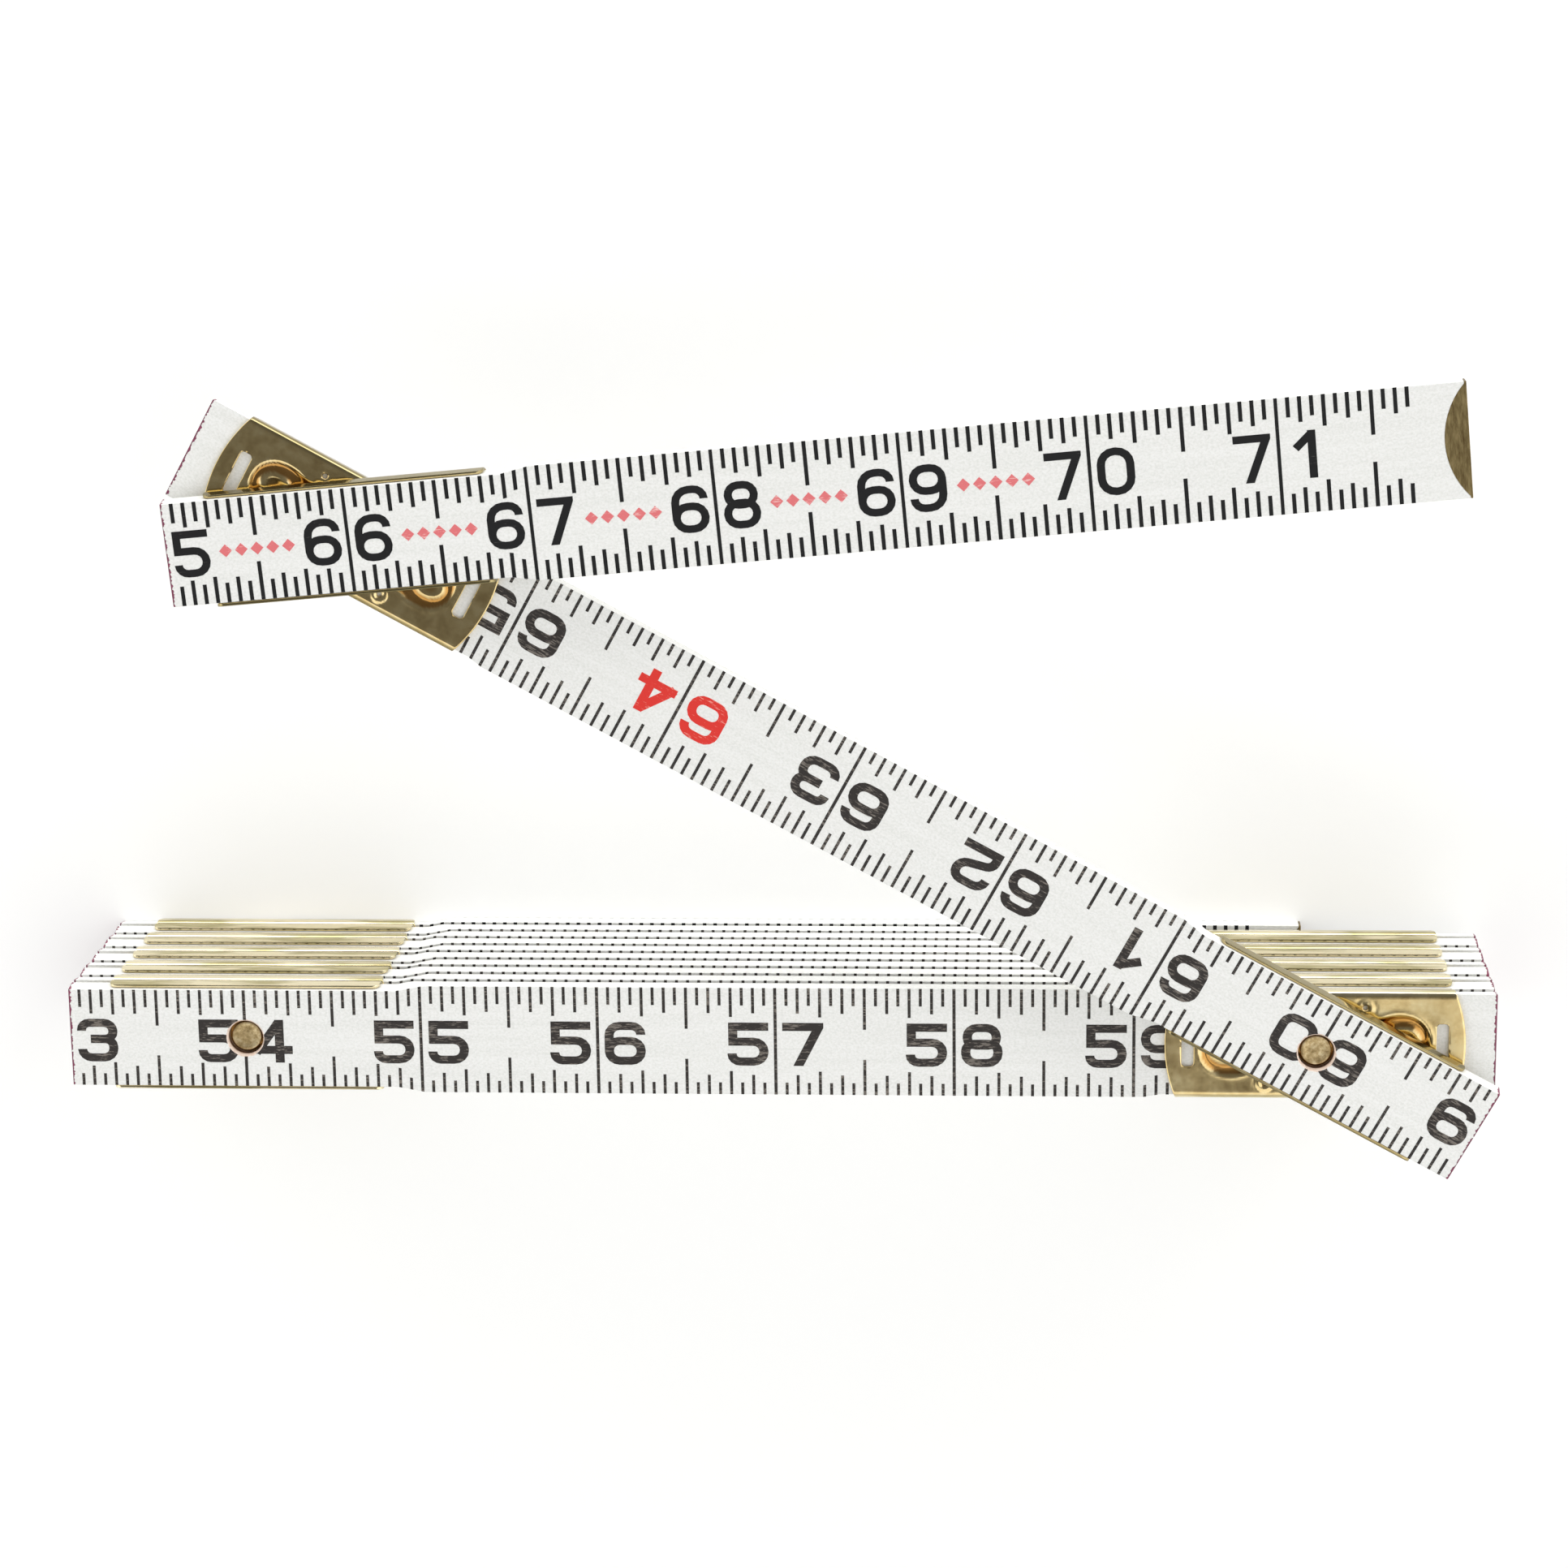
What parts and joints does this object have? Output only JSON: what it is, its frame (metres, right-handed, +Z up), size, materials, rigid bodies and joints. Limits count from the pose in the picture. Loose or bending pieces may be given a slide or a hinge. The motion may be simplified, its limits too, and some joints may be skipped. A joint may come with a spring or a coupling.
{
  "type": "folding rule",
  "caption": "Zig-zag folding rule: thin painted wooden sticks joined end to end by riveted brass hinge plates, with a brass tip on each free end.",
  "frame": {"origin": "on the underside of the bottom stick, midway between the two rows of hinges and on the stick's centre line", "axes": "+Z up through the stack and along the rivets; +X along the closed sticks, towards the zero end; +Y towards the side that the two open sticks swing out to"},
  "size_m": [0.2037, 0.114, 0.0432],
  "materials": {
    "painted_wood": "off-white enamel paint, satin",
    "hinge_brass": "pressed sheet, satin",
    "rivet_brass": "tarnished, dull",
    "black_ink": "printed ink, matt",
    "red_ink": "printed ink, matt"
  },
  "bodies": {
    "section_01": {"stick_01": "painted_wood", "hinge_06_lower_plate": "hinge_brass", "hinge_06_rivet": "rivet_brass", "zero_end_tip": "hinge_brass"},
    "section_02": {"stick_02": "painted_wood", "hinge_06_upper_plate": "hinge_brass", "hinge_12_lower_plate": "hinge_brass", "hinge_12_rivet": "rivet_brass"},
    "section_03": {"stick_03": "painted_wood", "hinge_12_upper_plate": "hinge_brass", "hinge_18_lower_plate": "hinge_brass", "hinge_18_rivet": "rivet_brass"},
    "section_04": {"stick_04": "painted_wood", "hinge_18_upper_plate": "hinge_brass", "hinge_24_lower_plate": "hinge_brass", "hinge_24_rivet": "rivet_brass"},
    "section_05": {"stick_05": "painted_wood", "hinge_24_upper_plate": "hinge_brass", "hinge_30_lower_plate": "hinge_brass", "hinge_30_rivet": "rivet_brass"},
    "section_06": {"stick_06": "painted_wood", "hinge_30_upper_plate": "hinge_brass", "hinge_36_lower_plate": "hinge_brass", "hinge_36_rivet": "rivet_brass"},
    "section_07": {"stick_07": "painted_wood", "hinge_36_upper_plate": "hinge_brass", "hinge_42_lower_plate": "hinge_brass", "hinge_42_rivet": "rivet_brass"},
    "section_08": {"stick_08": "painted_wood", "hinge_42_upper_plate": "hinge_brass", "hinge_48_lower_plate": "hinge_brass", "hinge_48_rivet": "rivet_brass"},
    "section_09": {"stick_09": "painted_wood", "hinge_48_upper_plate": "hinge_brass", "hinge_54_lower_plate": "hinge_brass", "hinge_54_rivet": "rivet_brass"},
    "section_10": {"stick_10": "painted_wood", "hinge_54_upper_plate": "hinge_brass", "hinge_60_lower_plate": "hinge_brass", "hinge_60_rivet": "rivet_brass"},
    "section_11": {"stick_11": "painted_wood", "hinge_60_upper_plate": "hinge_brass", "hinge_66_lower_plate": "hinge_brass", "hinge_66_rivet": "rivet_brass"},
    "section_12": {"stick_12": "painted_wood", "hinge_66_upper_plate": "hinge_brass", "far_end_tip": "hinge_brass"}
  },
  "joints": [
    {"name": "hinge_06", "type": "hinge", "parent": "section_01", "child": "section_02", "pos_m": [-0.0762, 0, 0.0031], "axis": [0, 0, 1], "range_deg": [0, 180]},
    {"name": "hinge_12", "type": "hinge", "parent": "section_02", "child": "section_03", "pos_m": [0.0762, 0, 0.0068], "axis": [0, 0, -1], "range_deg": [0, 180]},
    {"name": "hinge_18", "type": "hinge", "parent": "section_03", "child": "section_04", "pos_m": [-0.0762, 0, 0.0105], "axis": [0, 0, 1], "range_deg": [0, 180]},
    {"name": "hinge_24", "type": "hinge", "parent": "section_04", "child": "section_05", "pos_m": [0.0762, 0, 0.0142], "axis": [0, 0, -1], "range_deg": [0, 180]},
    {"name": "hinge_30", "type": "hinge", "parent": "section_05", "child": "section_06", "pos_m": [-0.0762, 0, 0.0179], "axis": [0, 0, 1], "range_deg": [0, 180]},
    {"name": "hinge_36", "type": "hinge", "parent": "section_06", "child": "section_07", "pos_m": [0.0762, 0, 0.0216], "axis": [0, 0, -1], "range_deg": [0, 180]},
    {"name": "hinge_42", "type": "hinge", "parent": "section_07", "child": "section_08", "pos_m": [-0.0762, 0, 0.0253], "axis": [0, 0, 1], "range_deg": [0, 180]},
    {"name": "hinge_48", "type": "hinge", "parent": "section_08", "child": "section_09", "pos_m": [0.0762, 0, 0.029], "axis": [0, 0, -1], "range_deg": [0, 180]},
    {"name": "hinge_54", "type": "hinge", "parent": "section_09", "child": "section_10", "pos_m": [-0.0762, 0, 0.0327], "axis": [0, 0, 1], "range_deg": [0, 180]},
    {"name": "hinge_60", "type": "hinge", "parent": "section_10", "child": "section_11", "pos_m": [0.0762, 0, 0.0364], "axis": [0, 0, -1], "range_deg": [-29, 151]},
    {"name": "hinge_66", "type": "hinge", "parent": "section_11", "child": "section_12", "pos_m": [-0.05709, 0.07389, 0.0401], "axis": [0, 0, 1], "range_deg": [-34, 146]}
  ]
}
